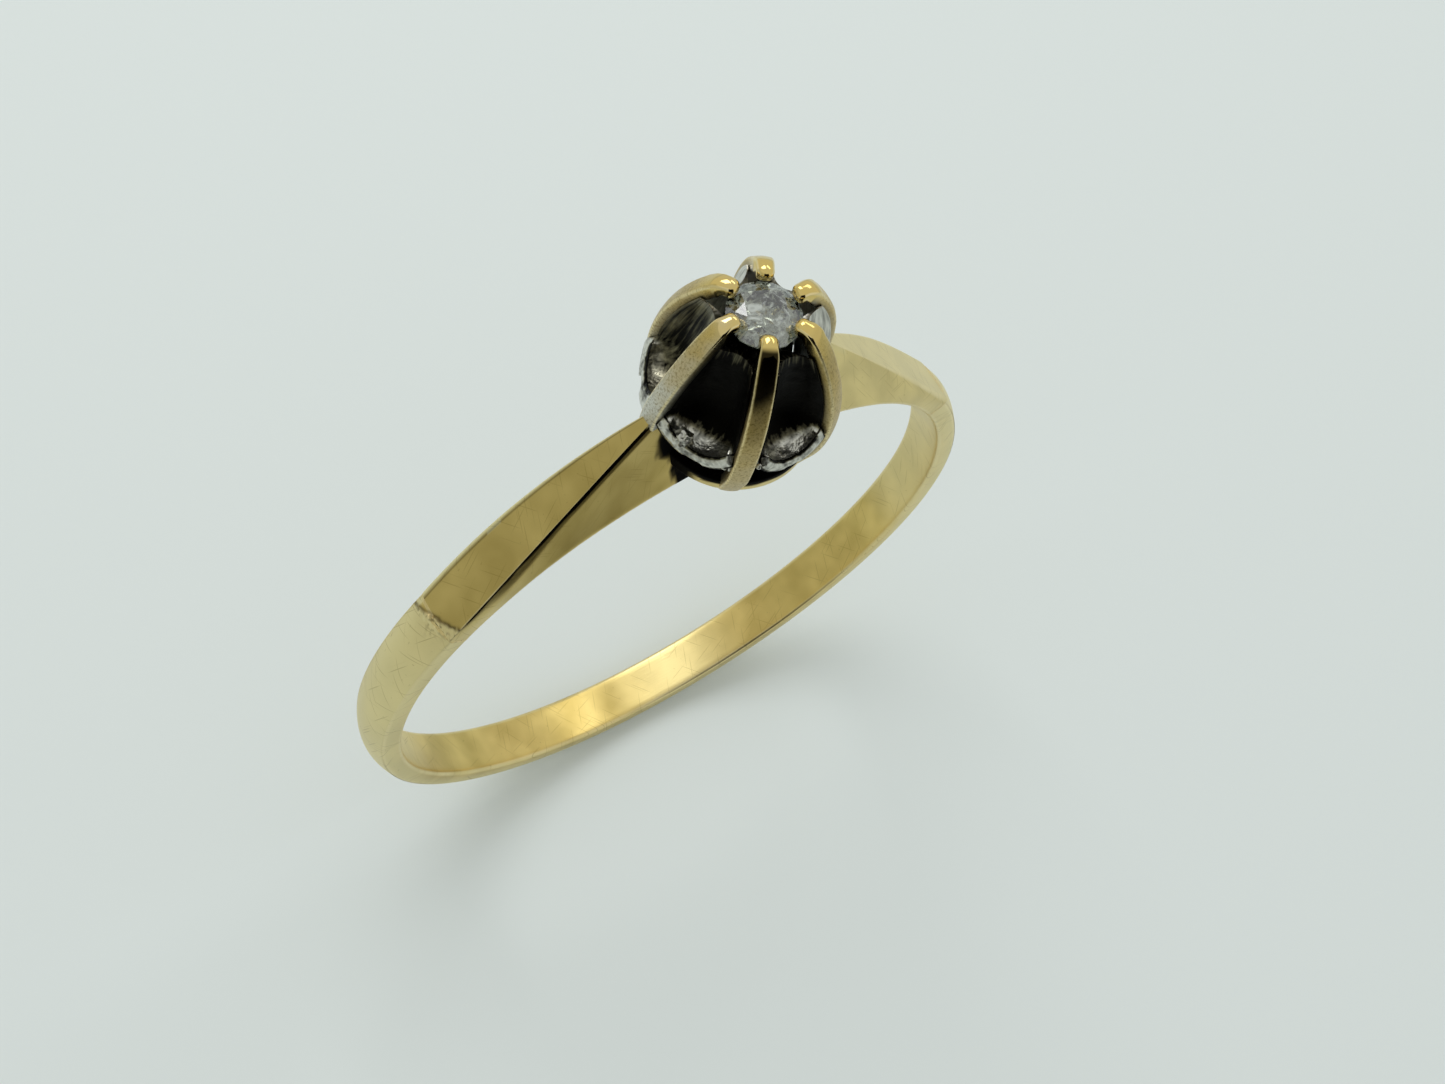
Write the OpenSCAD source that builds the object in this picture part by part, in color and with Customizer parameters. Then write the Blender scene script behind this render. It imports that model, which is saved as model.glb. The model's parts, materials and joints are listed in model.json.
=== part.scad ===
// Solitaire ring: a D-shaped band, two tapered shoulders and a six-claw flower head with a round brilliant.
// The finger hole is centred on the origin and runs along Y. The stone is up, along +Z.

/* [Finger hole and band] */
// Inner diameter of the ring
finger_d = 17.2; // [15:0.1:21]
// Width of the band along the finger
band_w = 1.44; // [1.2:0.02:2]
// Thickness of the band at its crown
band_t = 0.78; // [0.7:0.02:1.2]
// Thickness of the band at its two edges
band_edge_t = 0.55; // [0.4:0.05:0.6]
// Angle from the head at which the shoulders are soldered to the band
joint_angle = 53; // [48:1:60]
// Thickness of the solder film in each of those joints
solder_t = 0.08; // [0.04:0.02:0.14]

/* [Shoulders] */
// Thickness of a shoulder at its soldered joint
shoulder_t = 0.69; // [0.6:0.01:0.74]
// Height above the head's base at which the flat top of a shoulder meets the head
ridge_h = 1.6; // [1.3:0.05:2]
// Width of that flat top where it meets the head
ridge_w = 0.52; // [0.5:0.02:1]
// Lean of the flanks away from upright, in degrees
flank_lean = 11; // [8:1:16]
// Radius of the hollow along each flank
flank_r = 3.5; // [3:0.1:6]
// Height of the flank's hollow at the head
flank_h = 1.97; // [1.6:0.01:2.4]

/* [Base ring] */
// Rise of the head's base above the finger hole
head_lift = 0.55; // [0.3:0.05:1]
// Outer radius of the base ring
base_r = 1.92; // [1.8:0.02:2]
// Wall of the base ring
base_wall = 0.26; // [0.2:0.02:0.4]
// Height of the base ring
base_h = 0.42; // [0.3:0.02:0.6]
// Depth to which the claws are let into the outside of the base ring
lap_t = 0.13; // [0.08:0.01:0.18]

/* [Claws] */
// Largest radius of the head, over the claws
head_r = 2.3; // [2.2:0.02:2.5]
// Height of that largest radius above the base
bulge_h = 1.55; // [1.4:0.05:1.7]
// Radius of the bow that each claw follows
bow_r = 4.7; // [4.4:0.1:5]
// Width of a claw
claw_w = 0.5; // [0.4:0.02:0.52]
// Thickness of a claw
claw_t = 0.36; // [0.3:0.02:0.44]
// Outer radius of the hook at the tip
hook_r = 0.52; // [0.46:0.01:0.6]
// Angle up the bow at which the hook starts
hook_from = 38.5; // [37:0.5:40]
// Angle round the hook at which its round end sits
hook_to = 92; // [86:1:100]

/* [Petals] */
// Distance of the bowl's middle from the head's axis
bowl_x = 1.95; // [1.85:0.01:2.05]
// Height of the bowl's middle above the base
bowl_h = 2.2; // [2:0.05:2.4]
// Distance of the flute's middle from the head's axis at the girdle
flute_top_x = 1.36; // [1.3:0.01:1.45]
// Thickness of a petal
petal_t = 0.27; // [0.2:0.01:0.32]
// Thickness of a petal where its flute comes nearest to the claws
petal_edge_t = 0.03; // [0.02:0.01:0.08]
// Radius of the petals' lips about the head's axis
lip_r = 2.22; // [2.1:0.01:2.26]
// Height above the base at which the lips end beside the claws
horn_h = 1.9; // [1.7:0.05:2.1]

/* [Stone and collet] */
// Girdle diameter of the stone
stone_d = 1.66; // [1.5:0.02:1.8]
// Height of the girdle above the head's base
girdle_h = 4.18; // [4.1:0.01:4.22]
// Thickness of the girdle
girdle_t = 0.04; // [0.02:0.01:0.08]
// Diameter of the table across its corners
table_d = 0.94; // [0.8:0.02:1.1]
// Height of the crown above the girdle
crown_h = 0.25; // [0.18:0.01:0.3]
// Depth of the pavilion below the girdle
pavilion_h = 0.7; // [0.6:0.01:0.8]
// Play between the stone and the metal that holds it
stone_gap = 0.01; // [0.005:0.005:0.03]
// Height of the collet's foot above the head's base
collet_foot_h = 1.75; // [1.5:0.05:2]
// Drop of the tops of collet and petals below the girdle
collet_drop = 0.1; // [0.06:0.02:0.2]
// Wall of the collet, whose bore lets light in behind the stone
collet_wall = 0.22; // [0.15:0.01:0.3]
// Play between the collet and the backs of the petals
collet_gap = 0.01; // [0.005:0.005:0.03]

/* [Hidden] */
$fn = 96;

GOLD = "#C4A24A";
SOLDER = "#D9C58A";
WHITE_GOLD = "#B8B8B0";
CRYSTAL = "#DCE6EA";

// Claws stand at multiples of claw_step, and petals half a step on
claw_count = 6;
claw_step = 360 / claw_count;
half_step = claw_step / 2;

finger_r = finger_d / 2;
head_z = finger_r + head_lift;
girdle_z = head_z + girdle_h;
stone_r = stone_d / 2;
// A length past everything, for cutting shapes
reach = 2 * finger_d;

// Band: the dome is an arc through the two edges and the crown
dome_rise = band_t - band_edge_t;
dome_r = (pow(band_w / 2, 2) + pow(dome_rise, 2)) / (2 * dome_rise);
// Angle that the solder film takes up along the band
solder_angle = solder_t / finger_r * 180 / PI;

// Shoulder: the flat top runs from joint_top to ridge_end in the plane y = 0, here on the +X side
joint_r = finger_r + shoulder_t;
joint_top = joint_r * [sin(joint_angle), cos(joint_angle)];
ridge_end = [head_r, head_z + ridge_h];
top_run = ridge_end - joint_top;
top_len = norm(top_run);
top_slope = atan2(top_run[1], -top_run[0]);
top_taper = atan((band_w - ridge_w) / 2 / top_len);

// Claw: a bow about bow_mid, then a hook about hook_mid, in the plane of radius and height
bow_mid = [head_r - bow_r, head_z + bulge_h];
hook_mid = bow_mid + (bow_r - hook_r) * [cos(hook_from), sin(hook_from)];
hook_end = hook_mid + (hook_r - claw_t / 2) * [cos(hook_to), sin(hook_to)];

// Petal: a bowl with a cone that narrows from it to the girdle, both just clear of the claws' sides
bowl_z = head_z + bowl_h;
bowl_r = flute_fit(bowl_x);
flute_top_r = flute_fit(flute_top_x);
flute_rise = girdle_z - bowl_z;
flute_len = norm([bowl_x - flute_top_x, flute_rise]);
flute_tilt = atan((bowl_x - flute_top_x) / flute_rise);
flute_half_angle = asin((bowl_r - flute_top_r) / flute_len);
// Lean of a petal's back out of upright
flute_lean = flute_tilt - flute_half_angle;

// Stone: eight-fold brilliant, with its facets' corners on rings
stone_fold = 8;
facet_step = 360 / stone_fold;
table_r = table_d / 2;
table_z = girdle_z + girdle_t + crown_h;
culet_z = girdle_z - pavilion_h;
crown_slope = crown_h / (stone_r - table_r);
pavilion_slope = pavilion_h / stone_r;
star_r = (table_r + stone_r) / 2;
star_z = table_z - crown_slope * (star_r * cos(facet_step / 2) - table_r);
lower_r = stone_r / 4;
lower_z = culet_z + pavilion_slope * lower_r * cos(facet_step / 2);

// Radius of a flute that fits between two claws, at a distance from the head's axis
function flute_fit(x) = x * sin(half_step) - claw_w / 2 - petal_edge_t;

// Point on the collet's outside, behind a flute of the radius r whose middle is at x and z
function petal_back_at(x, z, r) = [x, z] - (r + petal_t + collet_gap) * [cos(flute_lean), sin(flute_lean)];

// Corners of a ring of facets: radius, height, how many, and the angle of the first
function ring(r, z, n, from) = [
    for (i = [0 : n - 1])
        let (a = from + i * 360 / n)
        [r * cos(a), r * sin(a), z]
];

// Area between two rays from the point mid, both shorter than a half turn apart
module sector(mid, from, to) {
    translate(mid)
        polygon([[0, 0], for (a = [from, (from + to) / 2, to]) reach * [cos(a), sin(a)]]);
}

// Section of the band, with radius along x and width along y
module band_section() {
    intersection() {
        translate([finger_r, -band_w / 2])
            square([band_t, band_w]);
        translate([finger_r + band_t - dome_r, 0])
            circle(dome_r);
    }
}

// A stretch of the band, with its angles measured from +X towards +Z
module band_arc(from, to) {
    rotate([90, 0, 0])
        rotate([0, 0, from])
            rotate_extrude(angle = to - from)
                band_section();
}

// Everything that the head's outside takes up, for trimming the shoulders
module head_envelope() {
    seat_z = head_z + base_h;
    rotate_extrude() {
        square([base_r, reach]);
        intersection() {
            translate(bow_mid)
                circle(bow_r);
            translate([0, seat_z])
                square([reach, reach]);
        }
    }
}

// Round cutter that hollows the flank on the -Y side of the right shoulder, along the edge of its flat top
module flank_cutter() {
    stand_off = sqrt(pow(flank_r, 2) - pow(flank_h / 2, 2));
    translate([joint_top[0], 0, joint_top[1]])
        rotate([0, 180 + top_slope, 0])
            mirror([0, 0, 1])
                translate([0, -band_w / 2, 0])
                    rotate([-flank_lean, 0, top_taper])
                        translate([0, -stand_off, -flank_h / 2])
                            rotate([0, 90, 0])
                                cylinder(r = flank_r, h = 2 * reach, center = true);
}

// The shoulder on the +X side, whose flat top runs on by a claw's thickness before the head trims it
module shoulder() {
    inner_end = ridge_end + claw_t * top_run / top_len;
    difference() {
        rotate([90, 0, 0])
            linear_extrude(band_w, center = true)
                difference() {
                    polygon([[0, 0], joint_top, inner_end, [0, inner_end[1]]]);
                    circle(finger_r);
                }
        flank_cutter();
        mirror([0, 1, 0])
            flank_cutter();
        head_envelope();
        claw(0);
    }
}

// A claw standing at an angle about the head's axis
module claw(angle) {
    rotate([0, 0, angle])
        difference() {
            rotate([90, 0, 0])
                linear_extrude(claw_w, center = true)
                    claw_section();
            cylinder(r = base_r - lap_t, h = head_z + base_h);
            stone_space();
        }
}

module claw_section() {
    difference() {
        union() {
            intersection() {
                translate(bow_mid)
                    circle(bow_r);
                sector(bow_mid, -hook_from, hook_from);
                translate([0, head_z])
                    square([reach, reach]);
            }
            intersection() {
                translate(hook_mid)
                    circle(hook_r);
                sector(hook_mid, 0, hook_to);
            }
        }
        intersection() {
            translate(bow_mid)
                circle(bow_r - claw_t);
            sector(bow_mid, -hook_from, hook_from);
        }
        translate(hook_mid)
            circle(hook_r - claw_t);
    }
    translate(hook_end)
        circle(claw_t / 2);
}

// Fluted hollow of a petal whose bowl has the radius r, along +X
module flute(r) {
    translate([bowl_x, 0, bowl_z])
        rotate([0, -flute_tilt, 0]) {
            sphere(r);
            translate([0, 0, r * sin(flute_half_angle)])
                cylinder(
                    h = flute_len,
                    r1 = r * cos(flute_half_angle),
                    r2 = r * cos(flute_half_angle) - flute_len * tan(flute_half_angle)
                );
        }
}

// Space between two neighbouring claws, along +X
module claw_gap() {
    apex = claw_w / 2 / sin(half_step);
    translate([apex, 0, 0])
        linear_extrude(reach)
            sector([0, 0], -half_step, half_step);
}

// Side of the flute's axis that a petal keeps: its back and its lip
module petal_keep() {
    translate([bowl_x, 0, bowl_z])
        rotate([0, -flute_tilt, 0])
            translate([-reach, -reach / 2, -reach / 2])
                cube(reach);
    cylinder(r = lip_r, h = head_z + horn_h);
}

// A petal in the gap at an angle about the head's axis
module petal(angle) {
    color(WHITE_GOLD)
        rotate([0, 0, angle])
            difference() {
                intersection() {
                    flute(bowl_r + petal_t);
                    claw_gap();
                    petal_keep();
                    cylinder(r = lip_r, h = girdle_z - collet_drop);
                }
                flute(bowl_r);
                stone_space();
            }
}

// Space that the stone turns in, with its play
module stone_space() {
    rotate_extrude()
        polygon([
            [0, culet_z - stone_gap],
            [stone_r + stone_gap, girdle_z - stone_gap],
            [stone_r + stone_gap, girdle_z + girdle_t + stone_gap],
            [star_r + stone_gap, star_z + stone_gap],
            [table_r, table_z + stone_gap],
            [0, table_z + stone_gap],
        ]);
}

module shank() {
    color(GOLD)
        band_arc(90 + joint_angle + solder_angle, 450 - joint_angle - solder_angle);
}

module solder_seam_left() {
    color(SOLDER)
        band_arc(90 + joint_angle, 90 + joint_angle + solder_angle);
}

module solder_seam_right() {
    color(SOLDER)
        band_arc(90 - joint_angle - solder_angle, 90 - joint_angle);
}

module shoulder_right() {
    color(GOLD)
        shoulder();
}

module shoulder_left() {
    color(GOLD)
        mirror([1, 0, 0])
            shoulder();
}

module base_ring() {
    color(GOLD)
        difference() {
            translate([0, 0, head_z])
                rotate_extrude()
                    translate([base_r - base_wall, 0])
                        square([base_wall, base_h]);
            for (i = [0 : claw_count - 1])
                claw(i * claw_step);
        }
}

module collet() {
    foot_z = head_z + collet_foot_h;
    top_z = girdle_z - collet_drop;
    low = petal_back_at(bowl_x, bowl_z, bowl_r);
    high = petal_back_at(flute_top_x, girdle_z, flute_top_r);
    run = high - low;
    wall = [collet_wall, 0];
    color(WHITE_GOLD)
        difference() {
            rotate_extrude()
                intersection() {
                    polygon([low - run, high + run, high + run - wall, low - run - wall]);
                    translate([0, foot_z])
                        square([reach, top_z - foot_z]);
                }
            stone_space();
        }
}

module claw_right() {
    color(GOLD)
        claw(0);
}

module claw_back_right() {
    color(GOLD)
        claw(claw_step);
}

module claw_back_left() {
    color(GOLD)
        claw(2 * claw_step);
}

module claw_left() {
    color(GOLD)
        claw(3 * claw_step);
}

module claw_front_left() {
    color(GOLD)
        claw(4 * claw_step);
}

module claw_front_right() {
    color(GOLD)
        claw(5 * claw_step);
}

module petal_right_back() {
    petal(half_step);
}

module petal_back() {
    petal(half_step + claw_step);
}

module petal_left_back() {
    petal(half_step + 2 * claw_step);
}

module petal_left_front() {
    petal(half_step + 3 * claw_step);
}

module petal_front() {
    petal(half_step + 4 * claw_step);
}

module petal_right_front() {
    petal(half_step + 5 * claw_step);
}

module diamond() {
    corners = concat(
        ring(table_r, table_z, stone_fold, 0),
        ring(star_r, star_z, stone_fold, facet_step / 2),
        ring(stone_r, girdle_z + girdle_t, 2 * stone_fold, 0),
        ring(stone_r, girdle_z, 2 * stone_fold, 0),
        ring(lower_r, lower_z, stone_fold, facet_step / 2),
        [[0, 0, culet_z]]
    );
    color(CRYSTAL)
        hull()
            polyhedron(corners, [for (i = [0 : len(corners) - 3]) [i, i + 1, i + 2]]);
}

shank();
shoulder_left();
shoulder_right();
solder_seam_left();
solder_seam_right();
base_ring();
collet();
claw_right();
claw_back_right();
claw_back_left();
claw_left();
claw_front_left();
claw_front_right();
petal_right_back();
petal_back();
petal_left_back();
petal_left_front();
petal_front();
petal_right_front();
diamond();
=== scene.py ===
"""A worn solitaire ring: its metal, stone and studio, built over the fixed CAD frame."""

import json
import math
from functools import partial

import bmesh
import bpy
from bpy.props import FloatProperty, FloatVectorProperty, PointerProperty
from mathutils import Matrix, Quaternion, Vector, noise


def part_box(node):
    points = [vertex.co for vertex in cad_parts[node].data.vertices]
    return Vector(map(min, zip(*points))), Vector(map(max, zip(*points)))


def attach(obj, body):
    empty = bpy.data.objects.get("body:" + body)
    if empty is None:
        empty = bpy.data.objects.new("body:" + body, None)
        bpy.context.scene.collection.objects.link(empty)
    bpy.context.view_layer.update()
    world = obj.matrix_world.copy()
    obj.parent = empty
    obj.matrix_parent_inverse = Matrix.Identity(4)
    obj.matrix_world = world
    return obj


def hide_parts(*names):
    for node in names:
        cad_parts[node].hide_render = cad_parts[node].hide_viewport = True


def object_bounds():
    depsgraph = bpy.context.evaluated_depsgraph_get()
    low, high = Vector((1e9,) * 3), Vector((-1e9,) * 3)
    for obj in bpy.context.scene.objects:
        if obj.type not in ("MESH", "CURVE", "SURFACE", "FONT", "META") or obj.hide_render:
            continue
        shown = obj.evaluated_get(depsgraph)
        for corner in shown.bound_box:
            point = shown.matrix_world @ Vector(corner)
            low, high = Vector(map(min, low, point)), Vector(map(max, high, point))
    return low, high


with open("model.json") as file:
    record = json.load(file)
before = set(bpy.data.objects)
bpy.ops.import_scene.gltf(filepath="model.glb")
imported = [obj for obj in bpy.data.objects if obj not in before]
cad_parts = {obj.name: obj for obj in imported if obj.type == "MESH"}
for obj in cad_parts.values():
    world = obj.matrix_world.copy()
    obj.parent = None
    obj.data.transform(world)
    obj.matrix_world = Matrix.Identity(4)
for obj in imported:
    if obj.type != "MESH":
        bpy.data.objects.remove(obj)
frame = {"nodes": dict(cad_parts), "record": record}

bl_info = {
    "name": "Worn Solitaire Ring",
    "version": (1, 0, 0),
    "blender": (4, 5, 0),
    "location": "View3D > Sidebar > Ring",
    "description": "Builds a worn six-claw solitaire ring and a small studio around its CAD frame",
    "category": "Add Mesh",
}

MM = 0.001
BODY = "root"

# Sizes that the CAD frame gives. The head's axis is Z, the finger hole's axis is Y.
CAD_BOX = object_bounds()
BORE_R = frame["record"]["mounts"][0]["dims"]["r_mm"] * MM
BAND_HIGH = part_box("shank")[1]
BASE_LOW, BASE_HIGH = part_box("base_ring")
CLAW_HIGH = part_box("claw_right")[1]
HEAD_Z = BASE_LOW.z

# Each claw's angle about the head in degrees, the sideways lean and the flare of its foot in millimetres,
# how much of its shaft is frosted and how dark it is below its tip, a painted dark reflection
CLAWS = {
    "claw_right": (0, 0.1, 0.0, 0.4, 0.0),
    "claw_back_right": (60, 0.0, 0.0, 0.4, 0.0),
    "claw_back_left": (120, 0.0, 0.0, 0.5, 0.0),
    "claw_left": (180, -0.17, 0.14, 1.0, 0.0),
    "claw_front_left": (240, -0.08, 0.0, 0.25, 0.97),
    "claw_front_right": (300, 0.0, 0.0, 0.3, 0.1),
}
# Each petal's angle about the head in degrees, how black its flute and its bowl are, how much its first side
# is widened and the thickness of its lip in millimetres. The blackness is oxide, made blacker on the two
# front petals as a painted dark reflection
PETALS = {
    "petal_right_back": (30, 0.5, 0.1, 0.0, 0.27),
    "petal_back": (90, 0.0, 0.1, 0.0, 0.27),
    "petal_left_back": (150, 0.64, 0.3, 0.0, 0.5),
    "petal_left_front": (210, 1.25, -0.08, 0.22, 0.32),
    "petal_front": (270, 1.25, -0.08, 0.0, 0.32),
    "petal_right_front": (330, 0.1, 0.55, 0.0, 0.27),
}
# Lumps of solder beside the front claw and in the left bowl: degrees about the head, then reach, height over
# the base and radius in millimetres
LUMPS = (
    (228, 2.13, 1.5, 0.1),
    (232, 2.12, 1.38, 0.07),
    (248, 2.15, 1.66, 0.09),
    (251, 2.12, 1.55, 0.06),
    (199, 2.02, 1.6, 0.2),
)
# Cards that the metal mirrors, each glowing as a painted reflection: the angles in degrees about the head
# between which each one stands, its distance in millimetres, and its light at heights in millimetres
CARDS = {
    "black_card": (220, 282, 36, ((-8, 0.3), (2, 0.07), (8, 0.015), (44, 0.005))),
    "grey_card": (120, 215, 70, ((CAD_BOX[0].z / MM, 1), (62, 1))),
}
CARD_STEPS = 16
FLOOR_REACH = 900 * MM

# Sizes of the surface patterns in millimetres. Real scratches, grit, file marks and paper tooth are several
# times finer: these are drawn as coarse as they need to be to show.
HAIRLINE_CELL = (2.4, 0.07, 1)
HAIRLINE_TURNS = (22, 68, 128)
WEAR_PATCH = 1 / 0.7
BRUSH_MARK = (0.5, 0.05, 1)
PIT = 1 / 7
CLAW_GRAIN = 1 / 15
FILE_MARK = 1 / 14
GRIT = 1 / 6
GRIT_CLUMP = 1 / 5
FLUTE_STREAK = (0.08, 0.9, 1)
CAST_SKIN = 1 / 6
STONE_FEATHER = 1 / 2.6
PAPER_TOOTH = 1 / 3
DIAMOND_IOR = 2.42


def linear(hex_colour):
    """An sRGB hex value as scene-linear red, green and blue."""
    parts = [int(hex_colour[i : i + 2], 16) / 255 for i in (1, 3, 5)]
    return tuple(c / 12.92 if c <= 0.04045 else ((c + 0.055) / 1.055) ** 2.4 for c in parts)


def length(name, description, default):
    return FloatProperty(name=name, description=description, default=default, unit="LENGTH", precision=5)


def angle(name, description, degrees):
    return FloatProperty(name=name, description=description, default=math.radians(degrees), subtype="ANGLE")


def power(name, description, default):
    return FloatProperty(name=name, description=description, default=default, unit="POWER")


def colour(name, description, hex_colour):
    opaque = (*linear(hex_colour), 1)
    return FloatVectorProperty(
        name=name, description=description, default=opaque, size=4, subtype="COLOR", min=0, max=1
    )


def place(name, description, millimetres):
    metres = [MM * value for value in millimetres]
    return FloatVectorProperty(name=name, description=description, default=metres, subtype="TRANSLATION")


class RingBand(bpy.types.PropertyGroup):
    """Sizes of the band and of its two shoulders."""

    finger_r: length("Finger radius", "Radius of the finger hole", BORE_R)
    width: length("Width", "Width of the band along the finger", 2 * BAND_HIGH.y)
    thickness: length("Crown", "Thickness of the band at its crown", BAND_HIGH.x - BORE_R)
    edge_t: length("Edge", "Thickness of the band at its two edges", 0.55 * MM)
    inner_round: length("Inner rounding", "Length worn off each inner edge", 0.13 * MM)
    outer_round: length("Outer rounding", "Length worn off each outer edge", 0.09 * MM)
    dents: length("Dents", "Depth of the waves that wear has left in the band", 0.012 * MM)
    joint: angle("Joint", "Angle from the head at which the shoulders are soldered on", 53)
    solder_t: length("Solder", "Thickness of the solder film in each joint", 0.08 * MM)
    solder_proud: length("Solder bead", "Height of the filed bead over the band", 0.003 * MM)
    shoulder_t: length("Shoulder", "Thickness of a shoulder at its joint", 0.69 * MM)
    ridge_h: length("Ridge height", "Height at which a flat top meets the head", 1.6 * MM)
    ridge_w: length("Ridge width", "Width of a flat top where it meets the head", 0.17 * MM)
    seat: length("Seat", "Length by which the shoulders reach under the head", 0.36 * MM)
    residue: length("Residue", "Length of the dark residue where the shoulders meet the head", 0.3 * MM)
    crease: length("Crease", "Depth of the groove under the edge of a flat top", 0.06 * MM)
    crest: length("Worn crest", "Length worn off the front edge of the left flat top", 0.03 * MM)
    crest_right: length("Right crest", "Length worn off the front edge of the right flat top", 0.135 * MM)
    press: length("Press", "Depth to which wear has pressed in the ring's right side", 0.36 * MM)
    press_at: angle("Press angle", "Angle of that side over the finger hole's middle", 22)
    press_spread: angle("Press spread", "Angle over which that side is pressed in", 32)


class RingHead(bpy.types.PropertyGroup):
    """Sizes of the flower head."""

    base_r: length("Base radius", "Outer radius of the base ring", BASE_HIGH.y)
    # The base ring's inside is darkened, partly residue and partly painted shade
    base_wall: length("Base wall", "Wall of the base ring with the residue inside it", 0.5 * MM)
    base_h: length("Base height", "Height of the base ring", BASE_HIGH.z - BASE_LOW.z)
    base_round: length("Base edges", "Length worn off the edges of the base ring", 0.07 * MM)
    head_r: length("Head radius", "Largest radius over the claws", CLAW_HIGH.x)
    bulge_h: length("Bulge height", "Height of that radius over the base", 1.55 * MM)
    bow_r: length("Claw bow", "Radius of the bow that a claw follows", 4.7 * MM)
    claw_w: length("Claw width", "Width of a claw", 2 * CLAW_HIGH.y)
    claw_t: length("Claw thickness", "Thickness of a claw", 0.36 * MM)
    claw_round: length("Claw edges", "Length worn off a claw's edges", 0.06 * MM)
    claw_crown: length("Claw crown", "Height by which a claw's outer face is domed", 0.035 * MM)
    foot_tuck: length("Foot tuck", "Length by which a claw's foot draws in to the base ring", 0.1 * MM)
    hook_r: length("Hook", "Outer radius of the hook at a claw's tip", 0.52 * MM)
    hook_from: angle("Hook start", "Angle up the bow at which the hook starts", 38.5)
    hook_to: angle("Hook end", "Angle round the hook at which it ends", 92)
    bowl_x: length("Bowl reach", "Distance of a bowl's middle from the head's axis", 1.95 * MM)
    bowl_h: length("Bowl height", "Height of a bowl's middle over the base", 2.2 * MM)
    flute_x: length("Flute reach", "Distance of a flute's middle from the axis at the girdle", 1.36 * MM)
    petal_t: length("Petal", "Thickness of a petal", 0.27 * MM)
    petal_edge_t: length("Petal edge", "Thickness of a petal beside the claws", 0.03 * MM)
    lip_swing: angle("Lip", "Angle under the bowl at which a petal's lip ends", 86)
    girdle_h: length("Girdle", "Height of the stone's girdle over the base", 4.18 * MM)
    petal_drop: length("Petal top", "Drop of a petal's top below the girdle", 0.1 * MM)


class RingColours(bpy.types.PropertyGroup):
    """Colours of the ring and of the studio."""

    gold: colour("Gold", "Clean yellow gold", "#DFC473")
    gold_deep: colour("Deep gold", "Yellow gold under skin oil and wear", "#BFA453")
    # Also laid inside the band as a painted highlight and reflection
    satin_and_sheen_gold: colour("Satin gold", "Yellow gold dulled to a pale satin by wear", "#E9DEAC")
    # Paler edges: partly rubbed wear, partly painted highlight
    edge_wear_and_sheen_gold: colour("Rubbed gold", "Freshly rubbed gold along edges and scratches", "#EFE0AE")
    # Painted shade in scratches, pits and grain, and on the left shoulder's flank
    shade_gold: colour("Scratches", "Shadow in the scratches of worn gold", "#7A6528")
    solder: colour("Solder", "Gold solder, a little paler than the band", "#E2CD92")
    # Residue in joints and burrs, and also painted shade in the left groove, at the torn start's foot and
    # inside the head, and the front claw's painted dark reflection
    grime: colour("Grime", "Dark residue in creases and joints", "#080604")
    white_gold: colour("White gold", "Bright frosted white gold", "#D0CFC4")
    tarnish: colour("Tarnish", "White gold dulled where its skin is mostly black", "#969074")
    oxide: colour("Oxide", "Blackened skin inside the flutes", "#0B0A07")
    stone: colour("Stone", "Grey body of the included stone", "#878D7E")
    feather: colour("Feathers", "White feathers inside the stone", "#C6CEC6")
    floor: colour("Floor", "Pale matte board under the ring", "#D8DFDD")
    room: colour("Room", "Pale light of the room", "#F1F3F1")
    # The two cards glow in these colours, painted reflections that only the metal sees
    black_card: colour("Black card", "Light that reaches the foot of the black card in front", "#D2CDB8")
    grey_card: colour("Grey card", "Grey card that calms the reflections on the left", "#BFC2B8")


class RingStage(bpy.types.PropertyGroup):
    """Places of the camera and of the studio light."""

    camera_at: place("Camera", "Place of the camera", (-15.123, -13.306, 42.318))
    camera_aim: place("Aim", "Point that the camera looks at", (0.92, -0.43, 2.30))
    camera_roll: angle("Roll", "Turn of the camera about its line of sight", 21.5)
    camera_lens: FloatProperty(
        name="Lens", description="Focal length on a 36 mm sensor", default=42.34, unit="CAMERA"
    )
    key_at: place("Key light", "Place of the large soft light", (10, 92, 140))
    key_size: length("Key size", "Side of the large soft light", 90 * MM)
    key_power: power("Key power", "Power of the large soft light", 0.075)
    strip_at: place("Strip light", "Place of the long light that brightens the band's inside", (135, 56, 140))
    strip_size: length("Strip size", "Length of the long light", 120 * MM)
    strip_deep: length("Strip depth", "Depth of the long light", 48 * MM)
    strip_power: power("Strip power", "Power of the long light", 0.032)
    room: FloatProperty(name="Room light", description="Brightness of the pale room", default=0.8)


def add_node(tree, kind, inputs=None, out=0, **settings):
    """Adds a node with its settings, fills its inputs with values or links, and gives one of its outputs."""
    node = tree.nodes.new("ShaderNode" + kind)
    for key, value in settings.items():
        setattr(node, key, value)
    for key, value in (inputs or {}).items():
        if isinstance(value, bpy.types.NodeSocket):
            tree.links.new(value, node.inputs[key])
        else:
            node.inputs[key].default_value = value
    return node.outputs[out] if node.outputs else node


def start_tree(owner):
    """Empties the node tree of a material or of the room, and gives the function that adds nodes to it."""
    owner.use_nodes = True
    owner.node_tree.nodes.clear()
    return partial(add_node, owner.node_tree)


def start_material(name, *marks):
    """A material, the function that adds its nodes, and the marks on a mesh that those nodes read."""
    material = bpy.data.materials.get(name) or bpy.data.materials.new(name)
    add = start_tree(material)
    reads = [add("Attribute", out="Fac", attribute_name=mark) for mark in marks]
    return material, add, *reads


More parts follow.
